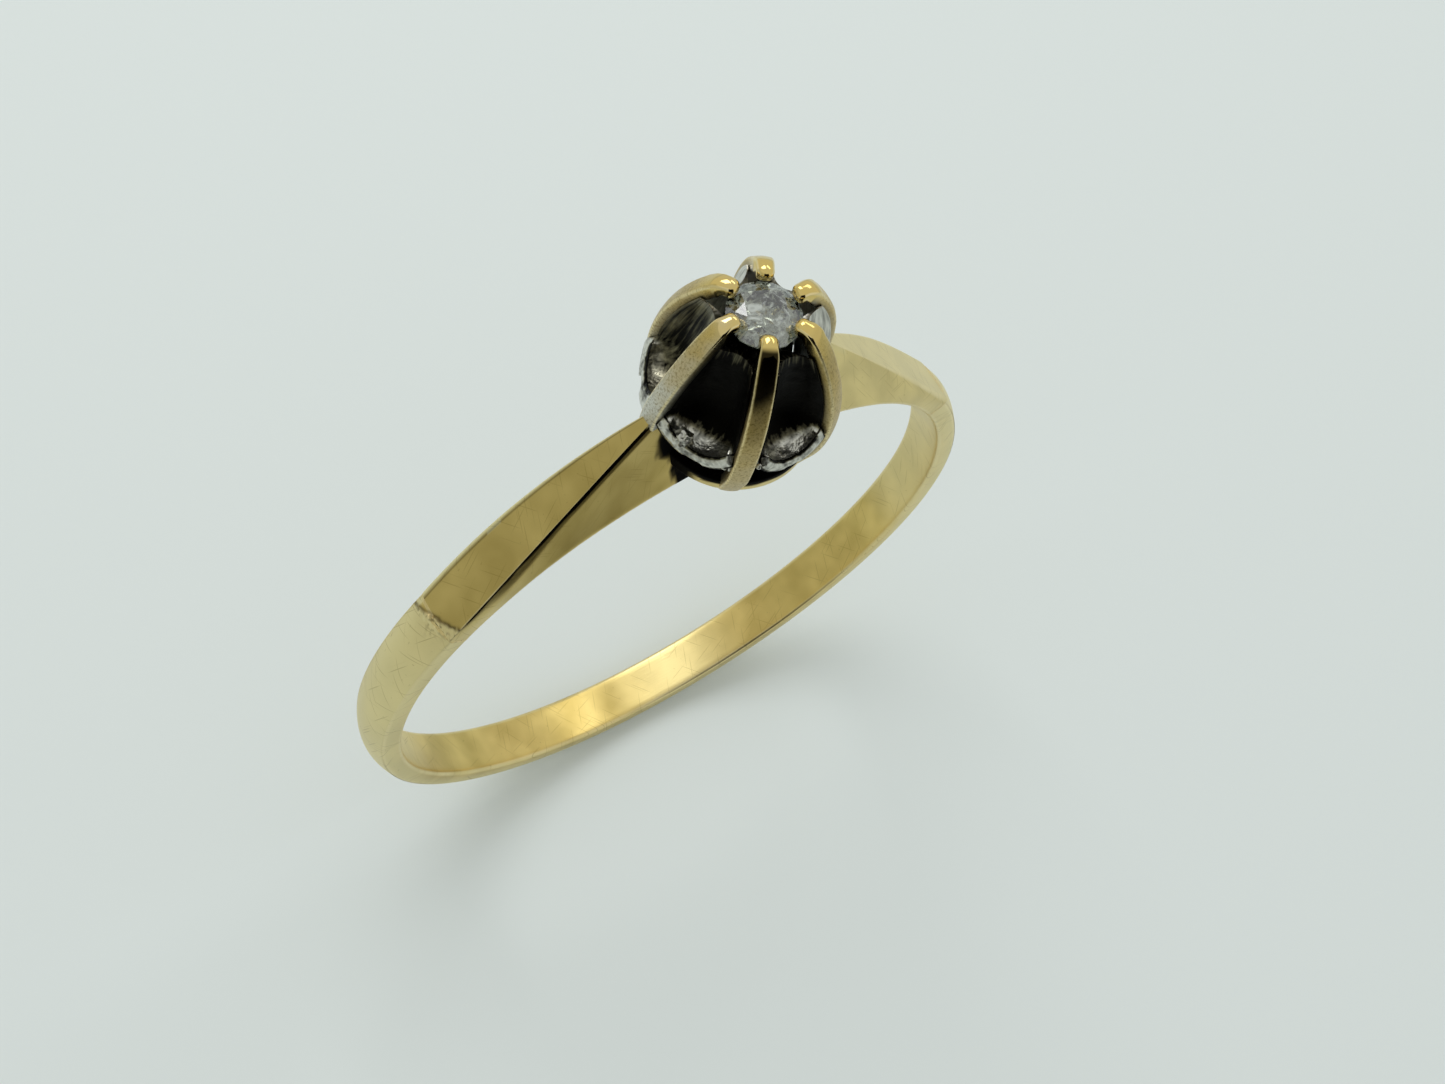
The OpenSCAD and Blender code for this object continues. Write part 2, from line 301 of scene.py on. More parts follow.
def finish_metal(add, tone, layers, rough, height, strength, depth):
    """Ends a metal: its tone under layers of (share, colour), its roughness, and a relief of some depth."""
    for share, coat in layers:
        tone = add("Mix", {0: share, 6: tone, 7: coat}, out=2, data_type="RGBA")
    bump = add("Bump", {"Strength": strength, "Distance": depth, "Height": height})
    shader = add("BsdfPrincipled", {"Base Color": tone, "Metallic": 1, "Roughness": rough, "Normal": bump})
    add("OutputMaterial", {"Surface": shader})


def wave(point, size, seed):
    """Smooth noise from -1 to 1 at a point, with bumps of about the given size."""
    return noise.noise(Vector(point) / size + Vector((seed, 2.3 * seed, -1.7 * seed)))


def ease(value, start, end):
    """0 up to start, 1 from end on, and a smooth rise between them."""
    x = max(0.0, min(1.0, (value - start) / (end - start)))
    return x * x * (3 - 2 * x)


def bell(value, middle, spread):
    """1 at the middle, falling smoothly to almost 0 two spreads away."""
    return math.exp(-(((value - middle) / spread) ** 2))


def soften(corners, steps=4):
    """Outline through corners (x, y, cut), each rounded over the length cut on both its sides.

    Gives (x, y, edge) with edge rising to 1 in the middle of a rounded corner."""
    outline = []
    for i, (x, y, cut) in enumerate(corners):
        corner = Vector((x, y))
        if not cut:
            outline.append((x, y, 0.0))
            continue
        before = corner + cut * (Vector(corners[i - 1][:2]) - corner).normalized()
        after = corner + cut * (Vector(corners[(i + 1) % len(corners)][:2]) - corner).normalized()
        for k in range(steps + 1):
            t = k / steps
            point = (1 - t) ** 2 * before + 2 * t * (1 - t) * corner + t**2 * after
            outline.append((*point, math.sin(math.pi * t)))
    return outline


class Grid:
    """Rows of points, with the marks on each point that a material reads."""

    def __init__(self):
        self.rows = []
        self.marks = {}

    def start_row(self):
        self.rows.append([])

    def add(self, point, **marks):
        self.rows[-1].append(point)
        for key, value in marks.items():
            self.marks.setdefault(key, []).append(value)


def loft(name, grid, closed=True, ends=True, joined=False):
    """Mesh through a grid's rows, each row running round or along a section."""
    rows = grid.rows
    count = len(rows[0])
    span = count if closed else count - 1
    steps = len(rows) if joined else len(rows) - 1
    faces = []
    for i in range(steps):
        low, high = i * count, (i + 1) % len(rows) * count
        for j in range(span):
            k = (j + 1) % count
            faces.append((low + j, low + k, high + k, high + j))
    total = len(rows) * count
    if ends and not joined:
        faces += [tuple(range(count)), tuple(range(total - count, total))]
    mesh = bpy.data.meshes.new(name)
    mesh.from_pydata([point for row in rows for point in row], [], faces)
    for key, values in grid.marks.items():
        if isinstance(values[0], (int, float)):
            mesh.attributes.new(key, "FLOAT", "POINT").data.foreach_set("value", values)
        else:
            flat = [part for value in values for part in value]
            mesh.attributes.new(key, "FLOAT_VECTOR", "POINT").data.foreach_set("vector", flat)
    tidy = bmesh.new()
    tidy.from_mesh(mesh)
    bmesh.ops.remove_doubles(tidy, verts=tidy.verts, dist=0.0005 * MM)
    bmesh.ops.recalc_face_normals(tidy, faces=tidy.faces)
    tidy.to_mesh(mesh)
    tidy.free()
    return mesh


def put(context, data):
    """An object for a mesh, a light or a camera, named for it and linked to the scene."""
    thing = bpy.data.objects.new(data.name, data)
    context.scene.collection.objects.link(thing)
    return thing


def add_piece(context, mesh, material, slot, *nodes, crisp=50):
    """Puts a finished mesh on the ring, in place of the CAD nodes that it stands for."""
    mesh.shade_smooth()
    mesh.set_sharp_from_angle(angle=math.radians(crisp))
    mesh.materials.append(material)
    piece = put(context, mesh)
    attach(piece, BODY)
    if nodes:
        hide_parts(*nodes)


def hairlines(add, surface):
    """Hairline scratches: one long thin dash in each of a few of many cells, turned three ways.

    They are drawn about 0.025 mm wide, wider than the real ones, so that a picture of the ring shows them."""
    total = 0.0
    for degrees in HAIRLINE_TURNS:
        cells = {"Vector": surface, "Rotation": (0, 0, math.radians(degrees)), "Scale": HAIRLINE_CELL}
        turned = add("Mapping", cells, vector_type="TEXTURE")
        near = add("TexVoronoi", {"Vector": turned, "Scale": 1}, voronoi_dimensions="2D")
        chance = near.node.outputs["Color"]
        dash = add("MapRange", {"Value": near, "From Min": 0.18, "From Max": 0.1})
        kept = add("MapRange", {"Value": chance, "From Min": 0.63, "From Max": 0.73})
        line = add("Math", {0: dash, 1: kept}, operation="MULTIPLY")
        total = add("Math", {0: total, 1: line}, operation="MAXIMUM")
    return total


def worn_yellow_gold(colours):
    """Yellow gold, polished once and worn for years: satin sheen, hairline scratches and rubbed bright edges,
    with painted highlights on its edges and inside the band and painted shade in its grooves and recesses.
    """
    material, add, edge, grime, satin, deep = start_material(
        "worn_polished_yellow_gold", "edge", "grime", "satin", "deep"
    )
    surface = add("Attribute", out="Vector", attribute_name="surface")
    lines = hairlines(add, surface)
    outside = add("MapRange", {"Value": satin, "From Max": 0.12, "To Max": 0.28})
    patch = add("TexNoise", {"Vector": surface, "Scale": 1 / WEAR_PATCH, "Detail": 2})
    cloudy = add("MapRange", {"Value": patch, "From Min": 0.36, "From Max": 0.62})
    brushed = add("Mapping", {"Vector": surface, "Scale": BRUSH_MARK}, vector_type="TEXTURE")
    grain = add("TexNoise", {"Vector": brushed, "Scale": 1, "Detail": 3})
    spots = add("TexNoise", {"Vector": surface, "Scale": 1 / PIT, "Detail": 2})
    pits = add("MapRange", {"Value": spots, "From Min": 0.7, "From Max": 0.76})
    marks = add("Math", {0: lines, 1: pits}, operation="MAXIMUM")
    worn = add("Math", {0: marks, 1: outside}, operation="MULTIPLY")
    dull = add("MapRange", {"Value": satin, "To Min": 0.27, "To Max": 0.46})
    rubbed = add("Math", {0: worn, 1: 0.15, 2: dull}, operation="MULTIPLY_ADD")
    rough = add("Math", {0: grime, 1: 0.5, 2: rubbed}, operation="MULTIPLY_ADD")
    height = add("Math", {0: worn, 1: -0.8, 2: grain}, operation="MULTIPLY_ADD")
    layers = (
        (cloudy, colours.gold_deep),
        # Painted shade on the left shoulder's flank
        (deep, colours.shade_gold),
        # Satin wear, with a painted highlight and reflection on the band's inside
        (satin, colours.satin_and_sheen_gold),
        # Rubbed edges, with a painted highlight
        (edge, colours.edge_wear_and_sheen_gold),
        (worn, colours.shade_gold),
        # Residue and dirt, with painted shade in the groove, at the torn start's foot and on the base ring
        (grime, colours.grime),
    )
    finish_metal(add, colours.gold, layers, rough, height, strength=0.2, depth=0.01 * MM)
    return material


def claw_gold(colours):
    """Yellow gold wire: mirror-bright where its tip was burnished over the stone, frosty grey at its foot,
    with a painted highlight on its edges and a painted dark reflection below the front claw's tip.
    """
    material, add, edge, frost, grime, dull = start_material(
        "burnished_claw_gold", "edge", "frost", "grime", "dull"
    )
    surface = add("Attribute", out="Vector", attribute_name="surface")
    grain = add("TexNoise", {"Vector": surface, "Scale": 1 / CLAW_GRAIN, "Detail": 4, "Roughness": 0.65})
    specks = add("MapRange", {"Value": grain, "From Min": 0.48, "From Max": 0.68, "To Max": 0.75})
    speckled = add("Math", {0: specks, 1: dull}, operation="MULTIPLY")
    rough = add("MapRange", {"Value": dull, "To Min": 0.1, "To Max": 0.42})
    layers = (
        (dull, colours.gold_deep),
        (frost, colours.white_gold),
        # Rubbed edges, with a painted highlight
        (edge, colours.edge_wear_and_sheen_gold),
        # Specks of grain, darkened with the painted shade colour
        (speckled, colours.shade_gold),
        # Darkened inner faces, and the front claw's painted dark reflection
        (grime, colours.grime),
    )
    finish_metal(add, colours.gold, layers, rough, grain, strength=dull, depth=0.008 * MM)
    return material


def filed_solder(colours):
    """Gold solder, filed flush: a paler line with coarse file marks and specks of flux."""
    material, add, grime = start_material("filed_gold_solder", "grime")
    where = add("TexCoord", out="Object")
    filed = add("TexNoise", {"Vector": where, "Scale": 1 / (FILE_MARK * MM), "Detail": 3})
    flux = add("MapRange", {"Value": filed, "From Min": 0.55, "From Max": 0.7, "To Max": 0.4})
    # Flux specks, with dirt and the painted shadow at the torn start's foot
    dirt = add("Math", {0: flux, 1: grime}, operation="MAXIMUM")
    layers = ((dirt, colours.grime),)
    finish_metal(add, colours.solder, layers, 0.38, filed, strength=0.3, depth=0.01 * MM)
    return material


def frosted_white_gold(colours):
    """White gold, sand-textured and blackened: sparkling grains where it is rubbed, oxide black elsewhere,
    made blacker on the front petals as a painted dark reflection.
    """
    material, add, oxide, bowl = start_material("frosted_blackened_white_gold", "oxide", "bowl")
    where = add("TexCoord", out="Object")
    surface = add("Attribute", out="Vector", attribute_name="surface")
    grit = add("TexNoise", {"Vector": where, "Scale": 1 / (GRIT * MM), "Detail": 2})
    streak = add("Mapping", {"Vector": surface, "Scale": FLUTE_STREAK}, vector_type="TEXTURE")
    cloud = add("TexNoise", {"Vector": streak, "Scale": 1, "Detail": 3})
    clotted = {"Vector": where, "Scale": 1 / (GRIT_CLUMP * MM), "Detail": 2, "Distortion": 0.8}
    clumps = add("TexNoise", clotted)
    skin = add("Mix", {0: bowl, 2: cloud, 3: clumps})
    specks = add("Mix", {0: bowl, 2: 0.5, 3: grit})
    mottled = add("Math", {0: skin, 1: specks}, operation="ADD")
    broken = add("Math", {0: mottled, 1: -1.6, 2: oxide}, operation="MULTIPLY_ADD")
    black = add("MapRange", {"Value": broken, "From Min": -1.75, "From Max": -0.9})
    dulled = add("MapRange", {"Value": oxide, "From Min": 0.1, "From Max": 0.4})
    rough = add("MapRange", {"Value": black, "To Min": 0.28, "To Max": 0.5})
    relief = add("MapRange", {"Value": bowl, "To Min": 0.3, "To Max": 1})
    layers = ((dulled, colours.tarnish), (black, colours.oxide))
    finish_metal(add, colours.white_gold, layers, rough, grit, strength=relief, depth=0.04 * MM)
    return material


def blackened_white_gold(colours):
    """White gold left from the casting and blackened: a dull dark backing behind the petals."""
    material, add = start_material("cast_blackened_white_gold")
    where = add("TexCoord", out="Object")
    skin = add("TexNoise", {"Vector": where, "Scale": 1 / (CAST_SKIN * MM), "Detail": 4})
    worn = add("MapRange", {"Value": skin, "From Min": 0.5, "From Max": 0.8, "To Max": 0.4})
    layers = ((worn, colours.white_gold),)
    finish_metal(add, colours.oxide, layers, 0.45, skin, strength=0.5, depth=0.02 * MM)
    return material


def included_diamond(colours):
    """Cut diamond with many inclusions: sharp facet flashes over a grey body with white feathers."""
    material, add = start_material("cut_included_diamond")
    where = add("TexCoord", out="Object")
    cloud = {"Scale": 1 / (STONE_FEATHER * MM), "Detail": 3, "Roughness": 0.55, "Distortion": 1.6}
    bend = add("TexNoise", {"Vector": where, **cloud})
    crack = add("MapRange", {"Value": bend, "From Min": 0.5, "From Max": 0.68, "To Max": 0.5})
    body = {"Base Color": colours.stone, "Roughness": 0, "IOR": DIAMOND_IOR, "Transmission Weight": 1}
    clear = add("BsdfPrincipled", body)
    feather = add("BsdfPrincipled", {"Base Color": colours.feather, "Roughness": 0.3, "IOR": DIAMOND_IOR})
    mixed = add("MixShader", {0: crack, 1: clear, 2: feather})
    add("OutputMaterial", {"Surface": mixed})
    return material


def matte_board(colours):
    """Coated paper board: an even, pale, slightly cool matte sheet with the faintest tooth."""
    material, add = start_material("coated_paper_board")
    where = add("TexCoord", out="Object")
    tooth = add("TexNoise", {"Vector": where, "Scale": 1 / (PAPER_TOOTH * MM), "Detail": 2})
    bump = add("Bump", {"Strength": 0.05, "Distance": 0.02 * MM, "Height": tooth})
    paper = {"Base Color": colours.floor, "Roughness": 0.7, "Specular IOR Level": 0.2, "Normal": bump}
    shader = add("BsdfPrincipled", paper)
    add("OutputMaterial", {"Surface": shader})
    return material


# Points across half of the band's domed outside, rows along the band and along a seam, and how much closer
# together rows lie at the left joint
DOME_STEPS = 20
BAND_ROWS, SEAM_ROWS = 480, 6
CROWDING = 1.5
# Angles between which the band's inside turns matt towards each joint, paler there as a painted reflection,
# and middle and spread of a matt patch, paler as a painted highlight
MATT_LEFT = (math.radians(198), math.radians(214))
MATT_RIGHT = (math.radians(330), math.radians(350))
SHEEN_PATCH = (math.radians(280), math.radians(16))
# Heights over the finger hole between which the band's flank turns from polished to satin
SATIN_RISE = (0.1 * MM, 0.45 * MM)
# Places across the band behind which the file left its skin alone
FILED_BEHIND = (0.45 * MM, 0.52 * MM)
DENT = 3.5 * MM
# Shares of a shoulder's length over which the flat on the right starts
SOFT_START = (-0.16, 0.06)
# The torn start of the flat on the left, in shares of that length: how far it lies past the joint, its slant,
# the depth and size of its teeth, its step, how far it trails on to the band, and the place of its foot,
# along which a painted shadow lies
TEAR_PAST = 0.004
TEAR_SLANT = 0.072 / MM
TEAR_TEETH = 0.012
TEAR_TOOTH = 0.14 * MM
TEAR_STEP = 0.008
TEAR_TRAIL, TEAR_TRAIL_FRONT = 0.012, 0.03
TEAR_FRONT = (-0.3 * MM, 0.2 * MM)
TEAR_FOOT_SHADOW = (0.006, 0.007)
# Height and size of the burrs on that torn start, and the noise at which dirt holds in them
BURR_H = 0.035 * MM
BURR = 0.09 * MM
BURR_DIRT = (0.1, 0.4)


def band_outline(band, proud):
    """Section of the band as (radius, y, edge), from the middle of its inner face and round."""
    half = band.width / 2 + proud
    inner, shoulder = band.finger_r - proud, band.finger_r + band.edge_t + proud
    rise = band.thickness - band.edge_t
    corners = [(inner, half * k / 3, 0) for k in (0, 1, 2)]
    corners += [(inner, half, band.inner_round), (shoulder, half, band.outer_round)]
    for k in range(DOME_STEPS - 1, -DOME_STEPS, -1):
        across = k / DOME_STEPS
        corners.append((shoulder + rise * (1 - across**2), half * across, 0))
    corners += [(shoulder, -half, band.outer_round), (inner, -half, band.inner_round)]
    corners += [(inner, -half * k / 3, 0) for k in (2, 1)]
    return soften(corners)


def shoulder_top(band, head):
    """Middle of the right shoulder's flat top, at its joint and at the head."""
    joint_r = band.finger_r + band.shoulder_t
    low = joint_r * Vector((math.sin(band.joint), 0, math.cos(band.joint)))
    return low, Vector((head.head_r, 0, HEAD_Z + band.ridge_h))


def flat_share(t, y, side):
    """How far the flat top is filed, how close its torn start is and how close the foot of that start is,
    where a painted shadow lies.

    All run from 0 to 1, at t along a shoulder, where t below 0 is on the band."""
    if side > 0:
        return ease(t, *SOFT_START), 0.0, 0.0
    ahead = t + TEAR_PAST + TEAR_SLANT * y - TEAR_TEETH * wave((y, 0, 0), TEAR_TOOTH, seed=3)
    trail = TEAR_STEP if ahead > 0 else TEAR_TRAIL + TEAR_TRAIL_FRONT * ease(-y, *TEAR_FRONT)
    return ease(ahead, 0, TEAR_STEP), bell(ahead, 0, trail), bell(ahead, *TEAR_FOOT_SHADOW)


def burrs(point, torn):
    """Height of the burrs at a point of the torn start, and the dirt that holds in them."""
    dirt = 0.6 * torn * ease(wave(point, BURR, seed=8), *BURR_DIRT)
    return BURR_H * torn * wave(point, BURR, seed=7), dirt


def pressed(band, point):
    """A point of the band or a shoulder, pressed in where wear has flattened the ring's right side."""
    turn = math.atan2(point.z, point.x)
    share = bell(turn, band.press_at, band.press_spread)
    return point - band.press * share * Vector((point.x, 0, point.z)).normalized()


def band_grid(band, head, start, end, steps, proud=0.0):
    """A stretch of the band, by angles from +X towards +Z."""
    outline = band_outline(band, proud)
    low, high = shoulder_top(band, head)
    long = (high - low).length
    across_flat = Vector((high.z - low.z, 0, low.x - high.x)).normalized()
    crown_r = band.finger_r + band.edge_t
    skin = 0.03 * MM
    grid = Grid()
    for i in range(steps + 1):
        turn = start + (end - start) * (i / steps) ** CROWDING
        out = Vector((math.cos(turn), 0, math.sin(turn)))
        side = math.copysign(1, out.x)
        past = math.acos(max(-1, min(1, out.z))) - band.joint
        flat_r = low.dot(across_flat) / Vector((abs(out.x), 0, out.z)).dot(across_flat)
        # Satin wear inside, paler at the joints as a painted reflection and at the patch as a painted
        # highlight
        matt_and_sheen = 0.6 * (ease(turn, *MATT_RIGHT) + 1 - ease(turn, *MATT_LEFT)) + 0.5 * bell(turn, *SHEEN_PATCH)
        grid.start_row()
        for radius, y, edge in outline:
            across = y + 0.7 * min(radius - band.finger_r, band.edge_t)
            filed, torn, foot = 0.0, 0.0, 0.0
            if out.z > 0:
                filed, torn, foot = flat_share(-past * band.finger_r / long, y, side)
            on_top = ease(radius, crown_r, crown_r + skin)
            torn *= on_top
            bared = 0.8 * filed * (1 - ease(y, *FILED_BEHIND)) if side < 0 else 0.0
            radius += filed * min(0.0, flat_r - radius)
            point = radius * out + Vector((0, y, 0))
            burr, dirt = burrs(point, torn)
            shift = band.dents * wave(point, DENT, seed=1) + burr
            satin = max(matt_and_sheen, 0.16, 0.75 * ease(radius - band.finger_r, *SATIN_RISE))
            grid.add(
                pressed(band, point + shift * out),
                surface=(turn * band.finger_r / MM, across / MM, (radius - band.finger_r) / MM),
                edge=max(edge, 0.4 * torn) * (0.6 + 0.4 * wave(point, 0.9 * MM, seed=9)),
                # Dirt in the burrs, and a painted shadow along the foot of the torn start
                grime=max(dirt, 0.6 * foot * on_top),
                satin=satin * (1 - bared),
            )
    return grid


class RING_OT_shank(bpy.types.Operator):
    """Adds the D-shaped band, open between its two soldered joints"""

    bl_idname = "ring.shank"
    bl_label = "Band"

    def execute(self, context):
        band = context.scene.ring_band
        film = band.solder_t / band.finger_r
        start = math.pi / 2 + band.joint + film
        end = 2.5 * math.pi - band.joint - film
        mesh = loft("band", band_grid(band, context.scene.ring_head, start, end, BAND_ROWS))
        add_piece(context, mesh, worn_yellow_gold(context.scene.ring_colours), "yellow_gold", "shank")
        return {"FINISHED"}


class RING_OT_solder_seams(bpy.types.Operator):
    """Adds the filed solder film between the band and each shoulder"""

    bl_idname = "ring.solder_seams"
    bl_label = "Solder seams"

    def execute(self, context):
        band = context.scene.ring_band
        film = band.solder_t / band.finger_r
        material = filed_solder(context.scene.ring_colours)
        for node, start in (
            ("solder_seam_left", math.pi / 2 + band.joint),
            ("solder_seam_right", math.pi / 2 - band.joint - film),
        ):
            grid = band_grid(
                band, context.scene.ring_head, start, start + film, SEAM_ROWS, band.solder_proud
            )
            add_piece(context, loft("filed_" + node, grid), material, "gold_solder", node)
        return {"FINISHED"}


# Half width of a flat top behind its middle, in shares of the band's: at its joint, and its swelling half way
BACK_START, BACK_SWELL = 0.7, 1.6
# Length rubbed off the back edge of a flat top, at the joint and at the head
RUBBED_JOINT, RUBBED_HEAD = 0.2 * MM, 0.05 * MM
# Depths in millimetres under a flat top at which its flanks have points, close together at the groove
GROOVE_DEPTHS = (0.02, 0.04, 0.06, 0.08, 0.1, 0.125, 0.15, 0.18, 0.22, 0.27, 0.33)
FLANK_STEPS = 10
# The front flank: its rounding at the joint, the ledge and hollow it has at the head, and the shares of the
# shoulder's length over which the one turns into the other
JOINT_ROUND = 0.3 * MM
LEDGE = 0.1
LEDGE_AT = (0.03 * MM, 0.2 * MM)
HOLLOW = 1.3
TWIST = (0.05, 0.6)
# The groove under the front edge of the left flat: middle and spread of its depth, and where it deepens
GROOVE_AT = (0.035 * MM, 0.027 * MM)
GROOVE_RUN = (0.1, 0.7)
# Shares of a shoulder and of its rows that lie clear of the head, and the furthest share that is searched
CLEAR, CLEAR_ROWS, FURTHEST = 0.82, 0.85, 1.35
SHOULDER_ROWS = 150
HALVINGS = 12
# The black line of painted shade in the groove: its width at the joint, how much wider it gets and where, its
# fades
LINE_W, LINE_WIDER, LINE_RAGGED = 0.04 * MM, 0.06 * MM, 0.015 * MM
LINE_RUN = (0.2, 0.75)
LINE_EDGE, LINE_HALO = 0.03 * MM, 0.1 * MM
# Depths under the flat top: its skin, the rubbed back edge, and where the painted shade on the flank grows
# paler
TOP_SKIN = 0.015 * MM
RUBBED_TO = 0.16 * MM
PALER = (0.7 * MM, 1.9 * MM)
RESIDUE_FADE = 0.09 * MM
# Depths under the flat top over which the residue in front on the left reaches further
RESIDUE_DEEPER = (0.1 * MM, 1.1 * MM)


def head_reach(head, z):
    """Radius of the head's outside about its axis, at a height."""
    if z < HEAD_Z + head.base_h:
        return head.base_r
    rise = z - HEAD_Z - head.bulge_h
    return head.head_r - head.bow_r + math.sqrt(head.bow_r**2 - rise**2)


def shoulder_section(band, head, side, t):
    """Section of a shoulder at t, from its joint (0) to the head (1).

    Gives for each point its place, its y, its depth under the flat top, its edge mark and whether it is on
    the dark line along the back of the flat."""
    low, high = shoulder_top(band, head)
    top = low.lerp(high, t)
    foot = math.asin(head.base_r / band.finger_r)
    turn = band.joint + (foot - band.joint) * t
    bottom = band.finger_r * Vector((math.sin(turn), 0, math.cos(turn)))
    deep = (bottom - top).length
    full = band.width / 2
    crest = band.crest_right if side > 0 else band.crest
    # Half widths of the flat top: straight in front, swelling behind where it was filed along
    front = full * (1 - t)
    back = (BACK_START + BACK_SWELL * t) * full * (1 - t) + band.ridge_w * t
    worn_edge = RUBBED_JOINT + (RUBBED_HEAD - RUBBED_JOINT) * t
    tiny = 0.001 * MM
    depths = [q * MM for q in GROOVE_DEPTHS]
    left = deep - 1.3 * band.inner_round - depths[-1]
    depths += [depths[-1] + left * k / FLANK_STEPS for k in range(1, FLANK_STEPS + 1)]

    def back_flank(q):
        arch = back + worn_edge * math.sqrt(1 - (1 - min(1, q / (0.8 * worn_edge))) ** 2)
        return arch + max(0, full - arch) * ease(q, 0.05 * MM, deep) ** 1.2

    def front_flank(q):
        near_joint = ease(q, -JOINT_ROUND, JOINT_ROUND) * 2 - 1
        near_head = LEDGE * ease(q, *LEDGE_AT) + (1 - LEDGE) * (q / deep) ** HOLLOW
        rise = near_joint + (near_head - near_joint) * ease(t, *TWIST)
        groove = 0.0 if side > 0 else band.crease * ease(t, *GROOVE_RUN) * bell(q, *GROOVE_AT)
        return front + (full - front) * max(0, min(1, rise)) - groove * ease(q, 0, 0.02 * MM)

    corners = [(back * k / 16, 0, 0) for k in range(17)]
    corners += [(back_flank(q), q, 0) for q in depths]
    corners += [(full, deep, band.inner_round)]
    corners += [(full * k / 4, deep, 0) for k in range(3, -4, -1)]
    corners += [(-full, deep, band.inner_round)]
    corners += [(-front_flank(q), q, 0) for q in reversed(depths) if q > 1.2 * crest]
    corners += [(-front, 0, max(tiny, min(crest, 0.19 * front)))]
    corners += [(-front * k / 20, 0, 0) for k in range(16, 0, -1)]
    points = []
    for y, q, edge in soften(corners):
        dome = band.edge_t + (band.thickness - band.edge_t) * (1 - (y / full) ** 2) - band.shoulder_t
        lift = max(0.0, dome) * (1 - flat_share(t, y, side)[0]) if q < 10 * tiny else 0.0
        point = top.lerp(bottom, (q - lift) / deep)
        line = 1.0 if side < 0 and q == 0 and abs(y - back) < tiny else 0.0
        points.append((Vector((side * point.x, y, point.z)), y, q, edge, line))
    return points


def string_ends(band, head, side, count):
    """How far along a shoulder each of its strings runs before it has reached into the head."""
    ends = []
    for j in range(count):
        near, far = CLEAR, FURTHEST
        for _ in range(HALVINGS):
            t = (near + far) / 2
            point = shoulder_section(band, head, side, t)[j][0]
            inside = math.hypot(point.x, point.y) < head_reach(head, point.z) - band.seat
            near, far = (near, t) if inside else (t, far)
        ends.append(near)
    return ends


def shoulder_finish(side, t, y, q, filed, full):
    """How satin and how deep in tone the gold is: on the flat top, its rubbed back edge and the flanks. The
    deep tone on the left flank is painted shade, darkest under the flat top towards the head.
    """
    if q < TOP_SKIN and y < 0.9 * full:
        return (0.75 - 0.6 * filed, 0.25 * filed) if side < 0 else (0.7, 0.0)
    if y > 0 and q < RUBBED_TO:
        return 0.95, 0.0
    if side > 0:
        return 0.45, 0.0
    upper = ease(t, 0.08, 0.45)
    # The left flank's deep tone is painted shade
    return 0.4 - 0.3 * upper, (0.5 - 0.2 * ease(q, *PALER)) * upper


def groove_shade(point, t, q):
    """Painted shade in the groove under the left flat: a thin black line with a soft halo below it."""
    wide = LINE_W + LINE_WIDER * ease(t, *LINE_RUN) + LINE_RAGGED * wave(point, 0.5 * MM, seed=4)
    core = 0.6 * (1 - ease(q, wide, wide + LINE_EDGE))
    halo = 0.4 * (1 - ease(q, wide, wide + LINE_HALO))
    return (core + halo) * ease(q, 0.005 * MM, 0.015 * MM) * ease(t, 0.02, 0.12)


def shoulder_grid(band, head, side):
    """A shoulder, each of its strings ending where it reaches into the head."""
    strings = len(shoulder_section(band, head, side, 0.5))
    ends = string_ends(band, head, side, strings)
    low, high = shoulder_top(band, head)
    long = (high - low).length
    grid = Grid()
    for i in range(SHOULDER_ROWS + 1):
        along = i / SHOULDER_ROWS
        along = 0.3 * along + 0.7 * along**CROWDING
        sections = {}
        grid.start_row()
        for j in range(strings):
            t = CLEAR * along / CLEAR_ROWS
            if along >= CLEAR_ROWS:
                t = CLEAR + (ends[j] - CLEAR) * (along - CLEAR_ROWS) / (1 - CLEAR_ROWS)
            if t not in sections:
                sections[t] = shoulder_section(band, head, side, t)
            point, y, q, edge, line = sections[t][j]
            filed, torn, foot = flat_share(t, y, side)
            on_top = 1 - ease(q, 0.01 * MM, 0.03 * MM)
            satin, deep = shoulder_finish(side, t, y, q, filed, band.width / 2)
            left_front = side < 0 and y < 0
            # Painted shade in the groove under the left flat
            crease = groove_shade(point, t, q) if left_front else 0.0
            further = 0.2 + 1.3 * ease(q, *RESIDUE_DEEPER) if left_front else 0.3
            further *= band.residue * (1 + 0.4 * wave(point, 0.16 * MM, seed=6))
            residue = 0.0
            if q > 0.03 * MM:
                residue = 1 - ease((ends[j] - t) * long - further, -RESIDUE_FADE, RESIDUE_FADE)
            burr, dirt = burrs(point, torn * on_top)
            nick = 0.012 * MM * wave(point, 0.1 * MM, seed=3) * edge
            sway = 0.006 * MM * wave(point, 1.6 * MM, seed=5)
            grid.add(
                pressed(band, point + Vector((0, 0, nick + burr + sway))),
                surface=(t * long / MM, (y + math.copysign(q, y)) / MM, 0),
                edge=edge * (0.7 + 0.3 * wave(point, 0.5 * MM, seed=2)),
                # Residue, dirt in the burrs, the dark line along the back, and painted shade in the groove
                # and at the torn start's foot
                grime=max(residue, crease, dirt, 0.75 * foot * on_top, 0.5 * line),
                satin=satin,
                deep=deep,
            )
    return grid


class RING_OT_shoulders(bpy.types.Operator):
    """Adds the two flat-topped shoulders that rise from the band to the head"""

    bl_idname = "ring.shoulders"
    bl_label = "Shoulders"

    def execute(self, context):
        band, head = context.scene.ring_band, context.scene.ring_head
        material = worn_yellow_gold(context.scene.ring_colours)
        for node, side in (("shoulder_left", -1), ("shoulder_right", 1)):
            mesh = loft("tapered_" + node, shoulder_grid(band, head, side))
            add_piece(context, mesh, material, "yellow_gold", node, crisp=35)
        return {"FINISHED"}


